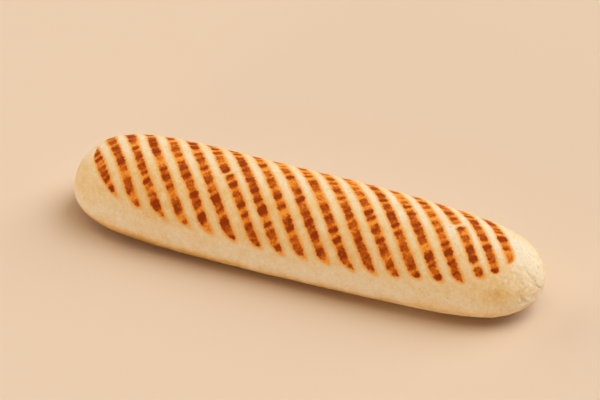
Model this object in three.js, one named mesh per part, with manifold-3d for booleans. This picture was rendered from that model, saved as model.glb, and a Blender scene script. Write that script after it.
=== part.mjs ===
// A long grilled bread roll, baked in one piece, lying on the flat of its underside.
// Millimetres, +Z up. X runs along the roll, and the origin is under its middle, on the surface it lies on.

import * as THREE from "three";
import { mergeVertices } from "three/addons/utils/BufferGeometryUtils.js";
import Module from "manifold-3d";

// Driving dimensions of the roll.
const LENGTH = 250;
const WIDTH = 61;
const BELLY_HEIGHT = 13.5; // height of the widest line above the surface
const CROWN_RISE = 30; // from the widest line up to the crest
const UNDER_DEPTH = 16.5; // from the widest line down to the dough's lowest line, before it lay flat

// Fullness of the outlines: 2 is an ellipse, and a larger number is squarer.
const CROWN_FULLNESS = 2;
const UNDER_FULLNESS = 2.4;
const BLUNT_END_FULLNESS = 7.2; // the end at -X, which is the blunter one
const ROUND_END_FULLNESS = 5.5; // the end at +X

// Fineness of the mesh.
const STATIONS = 44; // rings from end to end
const SECTORS = 64; // points in each ring

// The finish of a pale baked crust.
const CRUST_COLOUR = "#e8c793";
const CRUST_ROUGHNESS = 0.75;
const CRUST_METALNESS = 0;

const wasm = await Module();
wasm.setup();

/** Raises the size of a number to a power and keeps its sign. */
function signedPower(value, exponent) {
  return Math.sign(value) * Math.abs(value) ** exponent;
}

/** How full the section is at a place along the roll, from 0 at a tip to 1 in the middle. */
function sectionScale(along) {
  const fullness = along < 0 ? BLUNT_END_FULLNESS : ROUND_END_FULLNESS;
  return Math.sqrt(Math.max(0, 1 - Math.abs(along) ** fullness));
}

/** The point of the crust at a place along the roll (-1 to 1) and an angle around it. */
function crustPoint(along, angle) {
  const scale = sectionScale(along);
  const above = Math.sin(angle) > 0;
  const roundness = 2 / (above ? CROWN_FULLNESS : UNDER_FULLNESS);
  const reach = above ? CROWN_RISE : UNDER_DEPTH;
  return new THREE.Vector3(
    (along * LENGTH) / 2,
    ((scale * WIDTH) / 2) * signedPower(Math.cos(angle), roundness),
    BELLY_HEIGHT + scale * reach * signedPower(Math.sin(angle), roundness),
  );
}

/** The dough's whole rounded form: a ball whose poles are the roll's two tips. */
function roundedForm() {
  const form = new THREE.SphereGeometry(1, SECTORS, STATIONS);
  const position = form.attributes.position;
  const vertex = new THREE.Vector3();
  for (let i = 0; i < position.count; i += 1) {
    vertex.fromBufferAttribute(position, i);
    const along = THREE.MathUtils.clamp(vertex.y, -1, 1);
    const angle = Math.atan2(vertex.x, vertex.z);
    const point = crustPoint(along, angle);
    position.setXYZ(i, point.x, point.y, point.z);
  }
  return form;
}

/** The closed solid of a geometry, with its shared corners merged. */
function solidOf(geometry) {
  geometry.deleteAttribute("normal");
  geometry.deleteAttribute("uv");
  const merged = mergeVertices(geometry);
  return new wasm.Manifold(
    new wasm.Mesh({
      numProp: 3,
      vertProperties: merged.attributes.position.array,
      triVerts: new Uint32Array(merged.index.array),
    }),
  );
}

/** The geometry of a solid. */
function geometryOf(solid) {
  const { vertProperties, triVerts } = solid.getMesh();
  const geometry = new THREE.BufferGeometry();
  geometry.setAttribute("position", new THREE.BufferAttribute(vertProperties, 3));
  geometry.setIndex(new THREE.BufferAttribute(triVerts, 1));
  geometry.computeVertexNormals();
  return geometry;
}

/** The roll's own form, with the part that would be below the surface pressed flat. */
function breadRollGeometry() {
  const below = new THREE.BoxGeometry(2 * LENGTH, 2 * WIDTH, UNDER_DEPTH);
  below.translate(0, 0, -UNDER_DEPTH / 2);
  return geometryOf(solidOf(roundedForm()).subtract(solidOf(below)));
}

const crust = new THREE.MeshStandardMaterial({
  color: CRUST_COLOUR,
  roughness: CRUST_ROUGHNESS,
  metalness: CRUST_METALNESS,
});

const breadRoll = new THREE.Mesh(breadRollGeometry(), crust);
breadRoll.name = "bread_roll";

const group = new THREE.Group();
group.add(breadRoll);

export default group;
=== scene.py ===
"""A long grilled bread roll lying on a plain pale floor.

The roll was baked in one piece, so it is one mesh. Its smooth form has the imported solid's size and
outlines. On that form lie the marks that a ribbed grill pressed and scorched into the crown, the
unevenness of risen dough and the creases of its skin. All of that is real relief in the mesh, and the
crust's material adds what is finer.
"""

import logging
import math
from dataclasses import dataclass, field
from enum import Enum

import bpy
import numpy as np
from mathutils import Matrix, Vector, noise


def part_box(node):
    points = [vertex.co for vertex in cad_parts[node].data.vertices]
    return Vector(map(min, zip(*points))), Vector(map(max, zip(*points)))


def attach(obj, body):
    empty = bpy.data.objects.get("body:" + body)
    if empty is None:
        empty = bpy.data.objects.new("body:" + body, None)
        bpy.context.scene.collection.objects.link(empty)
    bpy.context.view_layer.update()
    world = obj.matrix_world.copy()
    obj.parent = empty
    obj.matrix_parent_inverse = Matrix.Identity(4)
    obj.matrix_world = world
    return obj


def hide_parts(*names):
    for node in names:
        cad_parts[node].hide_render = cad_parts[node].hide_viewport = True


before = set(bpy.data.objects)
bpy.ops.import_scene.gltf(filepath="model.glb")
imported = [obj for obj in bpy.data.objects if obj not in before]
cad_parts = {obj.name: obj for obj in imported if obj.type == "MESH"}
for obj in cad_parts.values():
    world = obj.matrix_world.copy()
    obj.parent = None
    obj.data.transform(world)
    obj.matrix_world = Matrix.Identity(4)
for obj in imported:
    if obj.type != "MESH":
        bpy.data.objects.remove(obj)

LOG = logging.getLogger("bread_roll")
NODE = "bread_roll"
MM = 0.001


class Layer(Enum):
    """The values that the roll's mesh carries for its crust's material."""

    EDGE = "mark_edge"  # mm inside the nearest grill mark's outline, negative outside it
    SCORCH = "scorch"  # how darkly the grill burnt this place, about 0 to 1
    BAKE = "bake"  # how golden the oven baked this place, 0 to 1, with painted shade in the underside's brown


def linear_colour(code: str) -> tuple[float, float, float, float]:
    """Turns an sRGB hex colour to the linear colour that a shader socket takes.

    Args:
        code: the colour, such as "#e8c793".

    Returns:
        Linear red, green and blue, and an alpha of 1.
    """
    parts = (int(code[i : i + 2], 16) / 255 for i in (1, 3, 5))
    red, green, blue = (c / 12.92 if c <= 0.04045 else ((c + 0.055) / 1.055) ** 2.4 for c in parts)
    return red, green, blue, 1.0


def add_node(
    tree: bpy.types.NodeTree, kind: str, links: dict | None = None, **settings: object
) -> bpy.types.Node:
    """Adds a node with its settings and links.

    Args:
        tree: the node tree that it goes in.
        kind: the node's type name.
        links: for each input, by name or number, the output that feeds it or its plain value.
        settings: the node's own properties.

    Returns:
        The new node.
    """
    node = tree.nodes.new(kind)
    for name, value in settings.items():
        setattr(node, name, value)
    for key, source in (links or {}).items():
        if isinstance(source, bpy.types.NodeSocket):
            tree.links.new(source, node.inputs[key])
        else:
            node.inputs[key].default_value = source
    return node


def rescaled(
    tree: bpy.types.NodeTree,
    value: bpy.types.NodeSocket,
    source: tuple[float, float],
    target: tuple[float, float],
    curve: str = "LINEAR",
) -> bpy.types.NodeSocket:
    """Adds the step from one range of values to another, which stops at the range's ends.

    Args:
        tree: the node tree that it goes in.
        value: the value to rescale.
        source: the range that it comes in.
        target: the range that it goes to.
        curve: "LINEAR", or "SMOOTHSTEP" to ease in and out.

    Returns:
        The rescaled value.
    """
    limits = {"From Min": source[0], "From Max": source[1], "To Min": target[0], "To Max": target[1]}
    return add_node(
        tree, "ShaderNodeMapRange", {"Value": value, **limits}, interpolation_type=curve
    ).outputs[0]


def computed(
    tree: bpy.types.NodeTree, operation: str, *values: object, use_clamp: bool = False
) -> bpy.types.NodeSocket:
    """Adds a step of arithmetic.

    Args:
        tree: the node tree that it goes in.
        operation: what it does, such as "ADD".
        values: what it works on: outputs or plain numbers.
        use_clamp: whether the result stays between 0 and 1.

    Returns:
        The result.
    """
    links = dict(enumerate(values))
    return add_node(tree, "ShaderNodeMath", links, operation=operation, use_clamp=use_clamp).outputs[0]


def mottling(
    tree: bpy.types.NodeTree,
    place: bpy.types.NodeSocket,
    size: float,
    detail: float,
    roughness: float = 0.5,
) -> bpy.types.NodeSocket:
    """Adds random variation through space, about 0.5 in the mean.

    Args:
        tree: the node tree that it goes in.
        place: the place on the roll, in metres.
        size: mm from one spot to the next.
        detail: how many ever finer layers it has.
        roughness: how strong the finer layers are.

    Returns:
        The variation.
    """
    links = {"Vector": place, "Scale": 1 / (size * MM), "Detail": detail, "Roughness": roughness}
    return add_node(tree, "ShaderNodeTexNoise", links).outputs[0]


def blended(
    tree: bpy.types.NodeTree,
    share: bpy.types.NodeSocket,
    first: bpy.types.NodeSocket,
    second: bpy.types.NodeSocket | tuple[float, float, float, float],
) -> bpy.types.NodeSocket:
    """Adds a mix of two colours: the first where the share is 0, and the second where it is 1."""
    mix = add_node(tree, "ShaderNodeMix", {0: share, 6: first, 7: second}, data_type="RGBA")
    return mix.outputs[2]


def direction(azimuth: float, elevation: float) -> Vector:
    """The unit vector towards a place around the roll.

    Args:
        azimuth: degrees round from the front, towards +X.
        elevation: degrees above the floor.

    Returns:
        The vector, pointing away from the roll.
    """
    turn, rise = math.radians(azimuth), math.radians(elevation)
    return Vector((math.sin(turn) * math.cos(rise), -math.cos(turn) * math.cos(rise), math.sin(rise)))


def smooth_step(values: np.ndarray, low: float, high: float) -> np.ndarray:
    """Eases values from 0 at low to 1 at high."""
    share = np.clip((values - low) / (high - low), 0, 1)
    return share * share * (3 - 2 * share)


def signed_power(values: np.ndarray, exponent: np.ndarray | float) -> np.ndarray:
    """Raises the size of each value to a power and keeps its sign."""
    return np.sign(values) * np.abs(values) ** exponent


@dataclass(frozen=True)
class Unevenness:
    """Smooth random variation through space, the same on every run.

    Attributes:
        size: mm from one bump to the next.
        seed: which pattern it is.
        octaves: how many ever finer layers it has.
    """

    size: float
    seed: int
    octaves: int = 1

    def at(self, places: np.ndarray) -> np.ndarray:
        """The variation at each place.

        Args:
            places: an N by 3 array, in mm.

        Returns:
            N values, mostly between -1 and 1.
        """
        shift = Vector((37.1, 17.9, 71.3)) * self.seed
        scaled = (places / self.size).tolist()
        return np.array([noise.fractal(Vector(p) + shift, 1.0, 2.0, self.octaves) for p in scaled])


@dataclass(frozen=True)
class RollForm:
    """The smooth form of the roll, in mm, as the solid has it.

    Attributes:
        length: from tip to tip, along X.
        width: across, along Y.
        height: from the surface it lies on to its crest.
        belly_height: height of its widest line.
        under_depth: from the widest line down to the lowest line of the dough, had it not lain flat.
        crown_fullness: fullness of the section above the widest line, where 2 is an ellipse.
        under_fullness: fullness of the section below it.
        blunt_end: fullness of the outline's end at -X.
        round_end: fullness of the outline's end at +X.
    """

    length: float
    width: float
    height: float
    belly_height: float = 13.5
    under_depth: float = 16.5
    crown_fullness: float = 2.0
    under_fullness: float = 2.4
    blunt_end: float = 7.2
    round_end: float = 5.5

    @classmethod
    def of_node(cls, node: str) -> "RollForm":
        """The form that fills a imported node's box."""
        low, high = (np.array(corner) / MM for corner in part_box(node))
        length, width, height = high - low
        return cls(length, width, height)

    def fullness(self, along: np.ndarray) -> np.ndarray:
        """How full the section is at each place along the roll, from 0 at a tip to 1."""
        exponent = np.where(along < 0, self.blunt_end, self.round_end)
        return np.sqrt(np.clip(1 - np.abs(along) ** exponent, 0, 1))

    def points(self, along: np.ndarray, angle: np.ndarray) -> np.ndarray:
        """The places of the crust.

        Args:
            along: place along the roll, from -1 at one tip to 1 at the other.
            angle: angle around the roll's length, with a quarter turn at the crest.

        Returns:
            An array of X, Y and Z in mm, with one more axis than the arguments.
        """
        full = self.fullness(along)
        above = np.sin(angle) > 0
        roundness = 2 / np.where(above, self.crown_fullness, self.under_fullness)
        reach = np.where(above, self.height - self.belly_height, self.under_depth)
        across = self.width / 2 * full * signed_power(np.cos(angle), roundness)
        up = self.belly_height + reach * full * signed_power(np.sin(angle), roundness)
        return np.stack([along * self.length / 2, across, np.maximum(up, 0)], axis=-1)

    def turn_from_crest(self, places: np.ndarray) -> np.ndarray:
        """The angle of each place around the belly's middle, in degrees, from the crest to +Y."""
        up = places[..., 2] - self.belly_height
        reach = np.where(up > 0, self.height - self.belly_height, self.under_depth)
        return np.degrees(np.arctan2(places[..., 1] / (self.width / 2), up / reach))


@dataclass(frozen=True)
class Tear:
    """A place where a mark is broken, because the skin split there as it was pressed.

    Attributes:
        rib: which mark it breaks.
        run: where it is, in mm along the mark from the crest.
        gap: mm of pale skin between the two pieces.
        step: mm that the mark jumps sideways, from that place down the front.
    """

    rib: int
    run: float
    gap: float
    step: float


@dataclass(frozen=True)
class GrillMarks:
    """The marks that the parallel ribs of a hot grill pressed and scorched into the crown, in mm.

    Attributes:
        lean: degrees that the marks lean from square across the roll.
        pitch: from one mark to the next, along the roll.
        crowding: how much nearer the middle the marks of the blunt end are than an even pitch has them.
        crowded: how far towards -X that starts, and where it is complete.
        offset: how far the marks are shifted along the roll.
        ribs: how many marks there are.
        half_width: from a mark's middle to its outline.
        unevenness: how far the outline wanders.
        spread: how much wider a mark is where it is darker, for each step of scorch.
        even_scorch: the scorch where a mark's outline has its middle place.
        wrap: how far the soft dough let the marks follow its skin: 0 for straight ribs, 1 for rolled on.
        back_ease: how much squarer across the roll the marks run on the back of its blunt end.
        turn_reach: degrees from the crest that the grill reached in the middle of the roll.
        end_rise: the share of turn_reach that is lost at the ends.
        blunt_reach: how far towards -X it reached.
        round_reach: how far towards +X it reached.
        reach_unevenness: how far the edge of that reach wanders.
        tip_slant: how steeply a mark's tip is cut across: mm for each mm sideways.
        tip_taper: mm of distance to the outline for each mm inside the grill's reach.
        corner: radius of the corners at the tips of the marks.
        patch: from one scorched patch to the next, along a mark.
        drift: the length along a mark over which that spacing changes.
        depth: how deep the ribs pressed in.
        puff: how far the skin between them puffed up.
        edge_limit: the furthest that distances to an outline are given.
        tears: where marks are broken.
    """

    lean: float = 40.0
    pitch: float = 12.43
    crowding: float = 1.9
    crowded: tuple[float, float] = (72, 108)
    offset: float = -1.8
    ribs: int = 19
    half_width: float = 2.15
    unevenness: float = 0.35
    spread: float = 0.35
    even_scorch: float = 0.55
    wrap: float = 0.65
    back_ease: float = 0.22
    turn_reach: float = 76.5
    end_rise: float = 0.26
    blunt_reach: float = 113.5
    round_reach: float = 113.0
    reach_unevenness: float = 1.2
    tip_slant: float = 0.4
    tip_taper: float = 0.7
    corner: float = 1.7
    patch: float = 2.8
    drift: float = 9.0
    depth: float = 0.3
    puff: float = 0.08
    edge_limit: float = 4.0
    tears: tuple[Tear, ...] = (
        Tear(7, -9.6, 1.2, 0.7),
        Tear(17, -3.2, 1.7, 0.9),
        Tear(17, -26.0, 0.9, 0.3),
    )

    def surroundings(self, form: RollForm, places: np.ndarray) -> np.ndarray:
        """The distance of each place around the skin from the crest, in mm, towards +Y."""
        turn = np.radians(form.turn_from_crest(places))
        along = places[:, 0] / (form.length / 2)
        radius = form.width / 2 * form.fullness(along)
        around = (1 - self.wrap) * places[:, 1] + self.wrap * radius * turn
        eased = 1 + self.back_ease * np.clip(along, -1, 0) * (around > 0)
        return around * eased

    def nearest(self, form: RollForm, places: np.ndarray) -> tuple[np.ndarray, np.ndarray, np.ndarray]:
        """Finds the mark nearest to each place.

        Args:
            form: the roll's form.
            places: an N by 3 array of places on it, in mm.

        Returns:
            The mark's number, how far the place is from its middle towards +X, and how far it is
            along the mark from the crest, the last two in mm.
        """
        lean = math.radians(self.lean)
        around = self.surroundings(form, places)
        shift = self.offset + self.crowding * smooth_step(-places[:, 0], *self.crowded)
        phase = (places[:, 0] + math.tan(lean) * around - shift) / self.pitch + self.ribs / 2 + 1
        rib = np.clip(np.round(phase), 1, self.ribs)
        sideways = (phase - rib) * self.pitch * math.cos(lean)
        run = around / math.cos(lean) - sideways * math.tan(lean)
        return rib, sideways, run

    def inside_reach(self, form: RollForm, places: np.ndarray, sideways: np.ndarray) -> np.ndarray:
        """How far each place is inside the part of the crown that the grill touched.

        Args:
            form: the roll's form.
            places: an N by 3 array of places on it, in mm.
            sideways: how far each is from its mark's middle, in mm towards +X.

        Returns:
            N distances in mm, negative outside it.
        """
        turn = form.turn_from_crest(places)
        along = places[:, 0]
        length = np.where(along < 0, self.blunt_reach, self.round_reach)
        share = np.clip(np.abs(along) / length, 0, 1)
        limit = self.turn_reach * (1 - self.end_rise * share**2) * np.sqrt(1 - share**14)
        slant = self.tip_slant * sideways * np.sign(turn)
        around = np.radians(limit - np.abs(turn)) * form.width / 2 - slant
        return np.minimum(around, length - np.abs(along))

    def scorch(
        self, along: np.ndarray, rib: np.ndarray, sideways: np.ndarray, run: np.ndarray
    ) -> np.ndarray:
        """How darkly the grill burnt each place, in patches that follow each other along a mark.

        Args:
            along: place along the roll, in mm.
            rib: number of the nearest mark.
            sideways: how far the place is from that mark's middle, in mm.
            run: how far it is along the mark from the crest, in mm.

        Returns:
            N values, mostly between 0 and 1.
        """
        patches = np.stack([run / self.patch, sideways / 11.0, rib * 7.3], axis=-1)
        drift = np.stack([run / self.drift, rib * 3.1, rib * 1.7], axis=-1)
        beat = np.sin(run / self.patch * 2.9 + 3.5 * Unevenness(1.0, 9).at(drift))
        scorch = 0.6 + 0.2 * beat + 0.62 * Unevenness(1.0, 5, 2).at(patches)
        paler_back = 0.006 * np.clip(run, 0, 18) * smooth_step(along, -70, 0)
        darker_front = 0.08 * smooth_step(-run, 6, 18)
        return scorch - paler_back + darker_front

    def layers(self, form: RollForm, places: np.ndarray) -> dict[Layer, np.ndarray]:
        """Works out the marks at each place of the skin.

        Args:
            form: the roll's form.
            places: an N by 3 array of places on it, in mm.

        Returns:
            The edge and scorch layers.
        """
        rib, sideways, run = self.nearest(form, places)
        scorch = self.scorch(places[:, 0], rib, sideways, run)
        wander = self.reach_unevenness * Unevenness(7.0, 11).at(places)
        within = self.inside_reach(form, places, sideways) + wander
        gaps = np.full(len(places), np.inf)
        for tear in self.tears:
            torn = rib == tear.rib
            sideways = np.where(torn & (run < tear.run), sideways - tear.step, sideways)
            gap = np.abs(run - tear.run) - tear.gap / 2
            gaps = np.where(torn, np.minimum(gaps, gap), gaps)
        ragged = self.unevenness * Unevenness(9.0, 3, 2).at(places)
        widened = self.spread * (scorch - self.even_scorch)
        side = self.half_width + ragged + widened - np.abs(sideways)
        tip = np.minimum(within * self.tip_taper, gaps)
        cut = self.corner - np.hypot(self.corner - side, self.corner - tip)
        rounded = (side < self.corner) & (tip < self.corner)
        edge = np.where(rounded, cut, np.minimum(side, tip))
        return {Layer.EDGE: np.clip(edge, -self.edge_limit, self.edge_limit), Layer.SCORCH: scorch}

    def relief(self, edge: np.ndarray, scorch: np.ndarray) -> np.ndarray:
        """How far the skin stands out by the marks, in mm, given the two layers."""
        pressed = smooth_step(edge, -0.9, 0.9)
        puffed = smooth_step(-edge, 0.4, 2.2) * smooth_step(edge, -4, -3)
        return self.puff * puffed - self.depth * pressed * (0.9 + 0.2 * scorch)


@dataclass(frozen=True)
class Spot:
    """A broad place where the dough rose, or browned, more or less than the rest.

    Attributes:
        amount: how much more in its middle: mm for a bulge, a share of 1 for browning.
        along: its middle, in mm along the roll.
        turn: its middle, in degrees around from the crest to +Y.
        length: from its middle to where it has mostly faded, in mm along the roll.
        spread: the same around the roll, in degrees.
    """

    amount: float
    along: float
    turn: float
    length: float
    spread: float

    def at(self, along: np.ndarray, turn: np.ndarray) -> np.ndarray:
        """How much more it is at each place."""
        away = ((along - self.along) / self.length) ** 2 + ((turn - self.turn) / self.spread) ** 2
        return self.amount * np.exp(-away)


@dataclass(frozen=True)
class Band:
    """Browning that sets in around the roll, on both sides of the crest.

    Attributes:
        amount: how much browner the skin is below it, as a share of 1.
        start: degrees from the crest where it sets in.
        end: degrees from the crest where it is complete.
        low: mm above the surface up to which it is full.
        high: mm above the surface where it has gone.
    """

    amount: float
    start: float
    end: float
    low: float = 1000.0
    high: float = 2000.0

    def at(self, turn: np.ndarray, rise: np.ndarray) -> np.ndarray:
        """The browning at each place.

        Args:
            turn: degrees from the crest.
            rise: mm above the surface that the roll lies on.

        Returns:
            N values.
        """
        down = 1 - smooth_step(rise, self.low, self.high)
        return self.amount * down * smooth_step(turn, self.start, self.end)


@dataclass(frozen=True)
class Crease:
    """A wavy crease that runs around the roll, where the dough was tucked in, with a lip beyond it.

    Attributes:
        along: where it starts and ends, in mm along the roll.
        turn: the same, in degrees around from the crest to +Y.
        depth: how deep it is, in mm.
        half_width: mm from its middle to its side.
        wave: how far it wanders, in mm.
    """

    along: tuple[float, float]
    turn: tuple[float, float]
    depth: float
    half_width: float
    wave: float = 1.8

    def at(self, places: np.ndarray, turn: np.ndarray) -> np.ndarray:
        """How far the skin stands out there, in mm, with less than 0 in the crease."""
        share = (turn - self.turn[0]) / (self.turn[1] - self.turn[0])
        middle = self.along[0] + (self.along[1] - self.along[0]) * share
        beyond = places[:, 0] - middle - self.wave * Unevenness(4.0, 12, 2).at(places)
        fade = smooth_step(share, 0, 0.2) * (1 - smooth_step(share, 0.8, 1))
        groove = np.exp(-((beyond / self.half_width) ** 2))
        lip = np.exp(-(((beyond - 2.2 * self.half_width) / (1.5 * self.half_width)) ** 2))
        return self.depth * fade * (0.5 * lip - groove)


@dataclass(frozen=True)
class DoughSkin:
    """The unevenness of the risen and baked dough, apart from the grill's marks, in mm.

    Attributes:
        bulges: the broad unevenness, where the loaf sagged as it proved.
        creases: the longest creases, at the round end.
        swell: depth of the gentle unevenness all over.
        ripple: depth of the finger-sized dents and bulges.
        pucker: depth of the fine puckers.
        wrinkle: depth of the wrinkles at the round end.
        blister: height of the small blisters there.
        crest_bake: how golden the crest is, as a share of 1.
        shoulder: the crown, which is more golden than the crest.
        side: the side, which stayed paler.
        base: the golden skin low down, near the tray.
        base_fade: how much less golden that is towards the round end.
        under: the browned underside: partly the tray's browning and partly painted shade, darker to
            deepen the shadow where the roll meets the floor.
        baked_spots: where the oven browned it more or less than elsewhere.
        paler: how much paler the crown is at the ends and here and there towards the round end.
        patchiness: how uneven the browning is.
    """

    bulges: tuple[Spot, ...] = (
        Spot(1.7, -32, -118, 62, 50),
        Spot(-0.5, 72, -118, 22, 45),
        Spot(0.5, 108, -120, 9, 45),
        Spot(-1.2, 76, 25, 28, 45),
        Spot(1.1, 116, 20, 13, 60),
        Spot(-0.6, 0, -142, 110, 12),
        Spot(-0.6, 0, 142, 110, 12),
    )
    creases: tuple[Crease, ...] = (
        Crease((115.0, 120.5), (-18, -92), 0.5, 0.65),
        Crease((118.5, 121.5), (-58, -104), 0.4, 0.5),
        Crease((112.0, 116.5), (-70, -112), 0.3, 0.5),
    )
    swell: float = 0.3
    ripple: float = 0.15
    pucker: float = 0.08
    wrinkle: float = 0.55
    blister: float = 0.2
    crest_bake: float = 0.1
    shoulder: Band = Band(0.18, 5, 40)
    side: Band = Band(-0.21, 66, 92)
    base: Band = Band(0.48, 90, 119, 4.5, 14)
    base_fade: float = 0.58
    # the underside's brown is partly the tray's browning and partly painted shade, made darker to deepen
    # the shadow where the roll meets the floor
    under: Band = Band(0.55, 134, 146, 1.2, 3)
    baked_spots: tuple[Spot, ...] = (
        Spot(0.24, -86, -112, 32, 17),
        Spot(-0.12, -89, -74, 10, 14),
        Spot(0.14, 84, -98, 18, 20),
        Spot(0.21, 111, -82, 9, 26),
        Spot(-0.13, 121, -38, 7, 32),
        Spot(0.12, 60, 112, 50, 22),
    )
    paler: float = 0.07
    patchiness: float = 0.05

    def relief(self, form: RollForm, places: np.ndarray) -> np.ndarray:
        """How far the skin stands out at each place, in mm."""
        turn = form.turn_from_crest(places)
        out = sum(bulge.at(places[:, 0], turn) for bulge in self.bulges)
        out += self.swell * Unevenness(45, 1).at(places)
        out += self.ripple * Unevenness(16, 2).at(places)
        out += self.pucker * Unevenness(3.2, 4, 2).at(places)
        out += sum(crease.at(places, turn) for crease in self.creases)
        near_end = smooth_step(places[:, 0], form.length * 0.385, form.length * 0.44)
        folds = np.abs(Unevenness(1.0, 6, 2).at(places / np.array([3.6, 8.0, 8.0])))
        blisters = smooth_step(Unevenness(2.2, 7).at(places), 0.1, 0.45)
        out -= near_end * self.wrinkle * (1 - smooth_step(folds, 0.0, 0.14))
        out += near_end * self.blister * blisters
        return out * smooth_step(places[:, 2], 0.0, 3.0)

    def bake(self, form: RollForm, places: np.ndarray) -> np.ndarray:
        """How much the oven browned each place: cream above, golden low down, brown underneath, where
        the brown is partly painted shade.
        """
        along = places[:, 0]
        rise = places[:, 2]
        turn = form.turn_from_crest(places)
        low = np.abs(turn)
        patchy = Unevenness(22, 8, 3).at(places)
        baked = self.crest_bake + self.shoulder.at(low, rise) + self.side.at(low, rise)
        fade = 1 - self.base_fade * smooth_step(along, 28, 70)
        baked += fade * self.base.at(low + 8 * patchy, rise)
        # painted shade: the underside's darker brown deepens the shadow at the floor, on top of the
        # tray's browning
        baked += self.under.at(low + 5 * patchy, rise)
        baked += sum(spot.at(along, turn) for spot in self.baked_spots)
        ends = 1.8 * smooth_step(along, 100, 116) + 1.2 * smooth_step(-along, 92, 114)
        pale = np.maximum(ends, smooth_step(along + 60 * patchy, 0, 100))
        baked -= self.paler * pale * (1 - smooth_step(low, 85, 110))
        return np.clip(baked + self.patchiness * patchy, 0, 1)


@dataclass(frozen=True)
class CrustFinish:
    """Thin soft crust of white wheat bread, steam-proved, baked pale and marked on a hot ribbed grill.

    To the eye it is matt and creamy, with a dry bloom, more golden where the oven browned it, and with
    scorched marks that go from orange to dark brown.
    """

    pale: str = "#e7d7bd"  # the palest skin, on the crest and at the round end
    cream: str = "#e4c695"  # most of the crown
    gold: str = "#d9a85f"  # the skin that the oven browned
    brown: str = "#723d17"  # the skin of the underside, which lay on the hot tray, partly painted shade: darker than its browning, to deepen the shadow where the roll meets the floor
    singe: str = "#e3a24b"  # the yellow rim where heat crept out from a mark
    toast: str = "#ec9634"  # the lightest part of a mark
    burn: str = "#c7620f"  # most of a mark
    char: str = "#923400"  # the darkest patches
    fleck: str = "#937b58"  # bran flecks in the flour
    roughness: float = 0.72
    ior: float = 1.45  # starch and dried gluten
    shine: float = 0.13  # specular level, low because the dry skin is full of tiny pits
    glow: float = 0.12  # share of the light that goes through the crumb just under the skin
    glow_depth: float = 2.5  # mm that the reddest of it goes
    bubble_depth: float = 0.4  # mm, of the grain of tiny bubbles

    def build(self) -> bpy.types.Material:
        """Makes the crust's material."""
        material = bpy.data.materials.new("pale_grilled_bread_crust")
        material.use_nodes = True
        tree = material.node_tree
        tree.nodes.clear()
        place = add_node(tree, "ShaderNodeTexCoord").outputs["Object"]
        edge, marked, scorch = self.mark_masks(tree, place)
        halo = rescaled(tree, edge, (-1.7, 0.0), (0.0, 0.95), "SMOOTHSTEP")
        singed = blended(tree, halo, self.skin_colour(tree, place), linear_colour(self.singe))
        colour = blended(tree, marked, singed, self.mark_colour(tree, scorch))
        shader = add_node(
            tree,
            "ShaderNodeBsdfPrincipled",
            {
                "Base Color": colour,
                "Roughness": self.roughness,
                "IOR": self.ior,
                "Specular IOR Level": self.shine,
                "Subsurface Weight": self.glow,
                "Subsurface Radius": (1.0, 0.45, 0.2),
                "Subsurface Scale": self.glow_depth * MM,
                "Normal": self.grain(tree, place, marked),
            },
        )
        add_node(tree, "ShaderNodeOutputMaterial", {"Surface": shader.outputs[0]})
        return material

    def skin_colour(self, tree: bpy.types.NodeTree, place: bpy.types.NodeSocket) -> bpy.types.NodeSocket:
        """Adds the unmarked skin's colour: cream to brown as it baked, mottled, flecked and floury, with
        painted shade in the underside's brown.
        """
        bake = add_node(tree, "ShaderNodeAttribute", attribute_name=Layer.BAKE.value).outputs["Fac"]
        uneven = rescaled(tree, mottling(tree, place, 5, 5.0, 0.72), (0.3, 0.7), (-0.12, 0.15))
        golden = computed(tree, "ADD", bake, uneven, use_clamp=True)
        skin = add_node(tree, "ShaderNodeValToRGB", {0: golden})
        stops = skin.color_ramp.elements
        stops[0].color = linear_colour(self.pale)
        # the underside's brown, partly painted shade
        stops[1].color = linear_colour(self.brown)
        stops.new(0.25).color = linear_colour(self.cream)
        stops.new(0.5).color = linear_colour(self.gold)
        flour = rescaled(tree, mottling(tree, place, 1.2, 2.0), (0.3, 0.7), (0.945, 1.05))
        flecked = blended(tree, self.flecks(tree, place), skin.outputs[0], linear_colour(self.fleck))
        return add_node(tree, "ShaderNodeHueSaturation", {"Value": flour, "Color": flecked}).outputs[0]

    def flecks(self, tree: bpy.types.NodeTree, place: bpy.types.NodeSocket) -> bpy.types.NodeSocket:
        """Adds where the bran flecks are: under 1 mm across, in about half of the skin's 4 mm cells."""
        cells = add_node(tree, "ShaderNodeTexVoronoi", {"Vector": place, "Scale": 1 / (4 * MM)})
        near = rescaled(tree, cells.outputs["Distance"], (0.06, 0.16), (0.35, 0.0))
        chosen = computed(tree, "GREATER_THAN", cells.outputs["Color"], 0.55)
        return computed(tree, "MULTIPLY", near, chosen)

    def mark_masks(
        self, tree: bpy.types.NodeTree, place: bpy.types.NodeSocket
    ) -> tuple[bpy.types.NodeSocket, bpy.types.NodeSocket, bpy.types.NodeSocket]:
        """Adds what says where the grill marks are.

        Args:
            tree: the material's nodes.
            place: the place on the roll.

        Returns:
            The distance inside a mark in mm, how far this place is marked, and how darkly.
        """
        edge = add_node(tree, "ShaderNodeAttribute", attribute_name=Layer.EDGE.value).outputs["Fac"]
        scorch = add_node(tree, "ShaderNodeAttribute", attribute_name=Layer.SCORCH.value).outputs["Fac"]
        frayed = computed(tree, "MULTIPLY_ADD", mottling(tree, place, 1.2, 3.0), 1.7, edge)
        ragged = computed(tree, "SUBTRACT", frayed, 0.85)
        marked = rescaled(tree, ragged, (-0.35, 0.3), (0.0, 1.0), "SMOOTHSTEP")
        blotched = computed(tree, "MULTIPLY_ADD", mottling(tree, place, 1.3, 4.0, 0.65), 1.3, scorch)
        deeper = rescaled(tree, ragged, (-0.1, 0.7), (-1.1, -0.6))
        return ragged, marked, computed(tree, "ADD", blotched, deeper)

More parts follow.
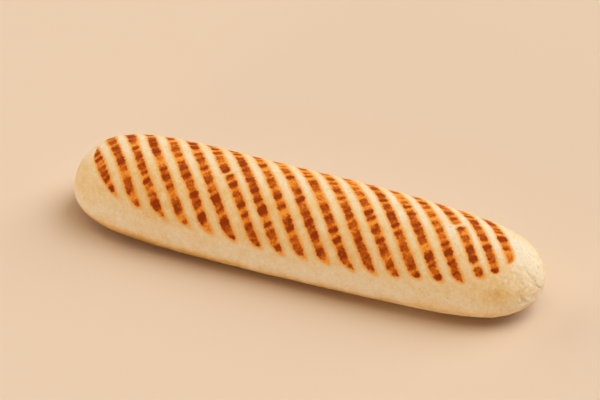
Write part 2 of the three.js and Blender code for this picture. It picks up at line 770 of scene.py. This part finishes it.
    def mark_colour(
        self, tree: bpy.types.NodeTree, scorch: bpy.types.NodeSocket
    ) -> bpy.types.NodeSocket:
        """Adds the colour inside a mark, from toasted to charred."""
        ramp = add_node(tree, "ShaderNodeValToRGB", {0: scorch})
        stops = ramp.color_ramp.elements
        stops[0].position = 0.2
        stops[0].color = linear_colour(self.toast)
        stops[1].position = 0.95
        stops[1].color = linear_colour(self.char)
        middle = stops.new(0.55)
        middle.color = linear_colour(self.burn)
        return ramp.outputs[0]

    def grain(
        self, tree: bpy.types.NodeTree, place: bpy.types.NodeSocket, marked: bpy.types.NodeSocket
    ) -> bpy.types.NodeSocket:
        """Adds the skin's dry grain, of flour and tiny bubbles about 1 mm apart, rougher in a mark."""
        links = {
            "Strength": rescaled(tree, marked, (0.0, 1.0), (0.5, 0.8)),
            "Distance": self.bubble_depth * MM,
            "Height": mottling(tree, place, 1.0, 4.0),
        }
        return add_node(tree, "ShaderNodeBump", links).outputs[0]


@dataclass
class BreadRoll:
    """The whole roll, as one mesh.

    Attributes:
        form: its smooth form.
        marks: its grill marks.
        skin: its unevenness.
        finish: its crust.
        stations: rings of the mesh, from tip to tip.
        sectors: points in each ring.
    """

    form: RollForm
    marks: GrillMarks = field(default_factory=GrillMarks)
    skin: DoughSkin = field(default_factory=DoughSkin)
    finish: CrustFinish = field(default_factory=CrustFinish)
    stations: int = 380
    sectors: int = 250

    def build(self) -> bpy.types.Object:
        """Builds the roll, dresses it and puts it on its body.

        Returns:
            The roll's object.
        """
        along, angle = self.grid()
        smooth = self.form.points(along, angle)
        outward = self.outward(smooth)
        places = smooth.reshape(-1, 3)
        layers = self.marks.layers(self.form, places)
        layers[Layer.BAKE] = self.skin.bake(self.form, places)
        relief = self.skin.relief(self.form, places)
        relief += self.marks.relief(layers[Layer.EDGE], layers[Layer.SCORCH])
        skin = places + outward.reshape(-1, 3) * relief[:, None]
        skin[:, 2] = np.maximum(skin[:, 2], 0)
        mesh = self.mesh(skin.reshape(smooth.shape))
        self.write_layers(mesh, layers)
        roll = bpy.data.objects.new("baked_roll", mesh)
        bpy.context.scene.collection.objects.link(roll)
        mesh.materials.append(self.finish.build())
        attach(roll, "root")
        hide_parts(NODE)
        return roll

    def grid(self) -> tuple[np.ndarray, np.ndarray]:
        """The place along the roll and the angle around it of each point, closer near the tips."""
        steps = np.linspace(-1, 1, self.stations + 1)[1:-1]
        turns = np.linspace(0, 2 * math.pi, self.sectors, endpoint=False) - math.pi / 2
        evenly = 0.62
        along = evenly * steps + (1 - evenly) * np.sin(steps * math.pi / 2)
        return np.meshgrid(along, turns, indexing="ij")

    def outward(self, points: np.ndarray) -> np.ndarray:
        """The direction straight out of the skin at each point of the grid."""
        lengthways = np.gradient(points, axis=0)
        wrapped = np.concatenate([points[:, -1:], points, points[:, :1]], axis=1)
        around = wrapped[:, 2:] - wrapped[:, :-2]
        normal = np.cross(lengthways, around)
        normal /= np.maximum(np.linalg.norm(normal, axis=2, keepdims=True), 1e-9)
        middle = np.array([0, 0, self.form.belly_height])
        outside = np.sum(normal * (points - middle), axis=2, keepdims=True)
        return normal * np.sign(outside + 1e-9)

    def mesh(self, skin: np.ndarray) -> bpy.types.Mesh:
        """Joins the grid's points and the two tips into one closed mesh, with a map for baked pictures.

        Args:
            skin: the grid's points, ring by ring, in mm.

        Returns:
            The mesh, in metres.
        """
        rings, sectors = skin.shape[:2]
        tips = [skin[0].mean(axis=0), skin[-1].mean(axis=0)]
        for tip, sign in zip(tips, (-1, 1)):
            tip[0] = sign * self.form.length / 2
        points = np.concatenate([skin.reshape(-1, 3), tips]) * MM
        faces = []
        corners = []  # of each face in turn, on the map: rings away from the first tip, and sectors
        for ring in range(rings - 1):
            for sector in range(sectors):
                beside = (sector + 1) % sectors
                here = ring * sectors
                there = here + sectors
                faces.append((here + sector, there + sector, there + beside, here + beside))
                corners += [(ring + 1, sector), (ring + 2, sector)]
                corners += [(ring + 2, sector + 1), (ring + 1, sector + 1)]
        first, last = rings * sectors, rings * sectors + 1
        end = (rings - 1) * sectors
        for sector in range(sectors):
            beside = (sector + 1) % sectors
            faces.append((first, sector, beside))
            corners += [(0, sector + 0.5), (1, sector), (1, sector + 1)]
            faces.append((last, end + beside, end + sector))
            corners += [(rings + 1, sector + 0.5), (rings, sector + 1), (rings, sector)]
        mesh = bpy.data.meshes.new("baked_roll")
        mesh.from_pydata(points.tolist(), [], faces)
        mesh.shade_smooth()
        picture = mesh.uv_layers.new(name="OFBake")
        spots = np.array(corners, dtype=float) / (rings + 1, sectors) * 0.996 + 0.002
        picture.data.foreach_set("uv", spots.ravel())
        return mesh

    def write_layers(self, mesh: bpy.types.Mesh, layers: dict[Layer, np.ndarray]) -> None:
        """Writes the layers that the material reads, with the tips as the rings next to them."""
        for layer, values in layers.items():
            ends = [values[: self.sectors].mean(), values[-self.sectors :].mean()]
            attribute = mesh.attributes.new(layer.value, "FLOAT", "POINT")
            attribute.data.foreach_set("value", np.concatenate([values, ends]).astype(np.float32))


@dataclass(frozen=True)
class Floor:
    """A plain pale floor of painted board, wide enough to fill every view."""

    colour: str = "#dbc4ad"
    half_side: float = 12.0
    gap: float = 0.05 * MM

    def build(self) -> bpy.types.Object:
        """Makes the floor just under the roll."""
        mesh = bpy.data.meshes.new("floor")
        side = self.half_side
        corners = [(-side, -side), (side, -side), (side, side), (-side, side)]
        mesh.from_pydata([(x, y, -self.gap) for x, y in corners], [], [(0, 1, 2, 3)])
        floor = bpy.data.objects.new("floor", mesh)
        bpy.context.scene.collection.objects.link(floor)
        mesh.materials.append(self.paint())
        return floor

    def paint(self) -> bpy.types.Material:
        """The floor's flat emulsion paint, pale and matt, so that the shadow on it stays soft."""
        material = bpy.data.materials.new("flat_emulsion_paint")
        material.use_nodes = True
        tree = material.node_tree
        tree.nodes.clear()
        shader = add_node(
            tree,
            "ShaderNodeBsdfPrincipled",
            {"Base Color": linear_colour(self.colour), "Roughness": 0.9, "Specular IOR Level": 0.2},
        )
        add_node(tree, "ShaderNodeOutputMaterial", {"Surface": shader.outputs[0]})
        return material


@dataclass(frozen=True)
class Lamp:
    """One large soft light, far enough away to shine evenly over the whole roll.

    Attributes:
        name: what it is called in the studio.
        azimuth: degrees round from the front, towards +X.
        elevation: degrees above the floor.
        power: watts on a square metre that faces it.
        spread: degrees across, as seen from the roll.
        colour: its colour.
    """

    name: str
    azimuth: float
    elevation: float
    power: float
    spread: float
    colour: str

    def build(self) -> None:
        """Hangs the lamp."""
        lamp = bpy.data.lights.new(self.name, "SUN")
        lamp.energy = self.power
        lamp.angle = math.radians(self.spread)
        lamp.color = linear_colour(self.colour)[:3]
        holder = bpy.data.objects.new(self.name, lamp)
        towards = direction(self.azimuth, self.elevation)
        holder.rotation_euler = towards.to_track_quat("Z", "Y").to_euler()
        bpy.context.scene.collection.objects.link(holder)


@dataclass(frozen=True)
class Studio:
    """Soft studio light: a wide key from behind on the right, weaker lamps round it, and pale walls.

    Attributes:
        lamps: the lamps.
        wall_colour: colour of the walls, which the floor runs into.
        wall_glow: brightness of the walls.
        ceiling_glow: brightness of the ceiling, as a share of the walls'.
        wall_top: sine of the elevation where the walls start to darken.
        ceiling_edge: sine of the elevation where they meet the ceiling.
    """

    lamps: tuple[Lamp, ...] = (
        Lamp("key", 142.0, 46.0, 1.68, 50.0, "#f6fcff"),
        Lamp("side", 112.0, 60.0, 1.07, 45.0, "#f6fcff"),
        Lamp("top", 0.0, 86.0, 0.92, 45.0, "#ffe4bc"),
        Lamp("fill", -8.0, 5.0, 1.22, 18.0, "#fff9ec"),
        Lamp("flank", -100.0, 20.0, 1.2, 60.0, "#fff6e8"),
        Lamp("edge", 142.0, 14.0, 0.4, 30.0, "#fff4e4"),
    )
    wall_colour: str = "#edd0b1"
    wall_glow: float = 1.0
    ceiling_glow: float = 0.01
    wall_top: float = 0.12
    ceiling_edge: float = 0.36

    def build(self) -> None:
        """Hangs the lamps and puts up the walls."""
        for lamp in self.lamps:
            lamp.build()
        world = bpy.data.worlds.new("pale_walls")
        world.use_nodes = True
        tree = world.node_tree
        tree.nodes.clear()
        way = add_node(tree, "ShaderNodeTexCoord").outputs["Generated"]
        height = add_node(tree, "ShaderNodeSeparateXYZ", {"Vector": way}).outputs["Z"]
        heights = (self.wall_top, self.ceiling_edge)
        glows = (self.wall_glow, self.wall_glow * self.ceiling_glow)
        glow = rescaled(tree, height, heights, glows, "SMOOTHSTEP")
        walls = add_node(
            tree,
            "ShaderNodeBackground",
            {"Color": linear_colour(self.wall_colour), "Strength": glow},
        )
        add_node(tree, "ShaderNodeOutputWorld", {"Surface": walls.outputs[0]})
        bpy.context.scene.world = world
        bpy.context.scene.view_settings.view_transform = "Standard"


@dataclass(frozen=True)
class Viewpoint:
    """The camera: a long lens from the front and above, a little to the roll's round end.

    Attributes:
        azimuth: degrees round from the front, towards +X.
        elevation: degrees above the floor.
        distance: metres from the point that it looks at.
        lens: focal length in mm, for a picture 36 mm wide.
        aim: where it looks, in mm from the middle of the roll's box.
    """

    azimuth: float = 22.73
    elevation: float = 36.0
    distance: float = 1.65
    lens: float = 198.8
    aim: tuple[float, float, float] = (-4.9, 4.4, 6.4)

    def build(self) -> bpy.types.Object:
        """Makes the camera and gives it to the scene."""
        low, high = (Vector(corner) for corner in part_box(NODE))
        target = (low + high) / 2 + Vector(self.aim) * MM
        away = direction(self.azimuth, self.elevation)
        lens = bpy.data.cameras.new("camera")
        lens.lens = self.lens
        lens.sensor_width = 36.0
        camera = bpy.data.objects.new("camera", lens)
        camera.location = target + away * self.distance
        camera.rotation_euler = away.to_track_quat("Z", "Y").to_euler()
        bpy.context.scene.collection.objects.link(camera)
        bpy.context.scene.camera = camera
        return camera


def main() -> None:
    """Builds the scene piece by piece."""
    logging.basicConfig(level=logging.INFO, format="%(name)s: %(message)s")
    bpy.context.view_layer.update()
    Viewpoint().build()
    LOG.info("camera placed")
    Studio().build()
    LOG.info("light placed")
    Floor().build()
    LOG.info("floor laid")
    roll = BreadRoll(RollForm.of_node(NODE)).build()
    LOG.info("%s: %d points, %d faces", roll.name, len(roll.data.vertices), len(roll.data.polygons))


if __name__ == "__main__":
    main()
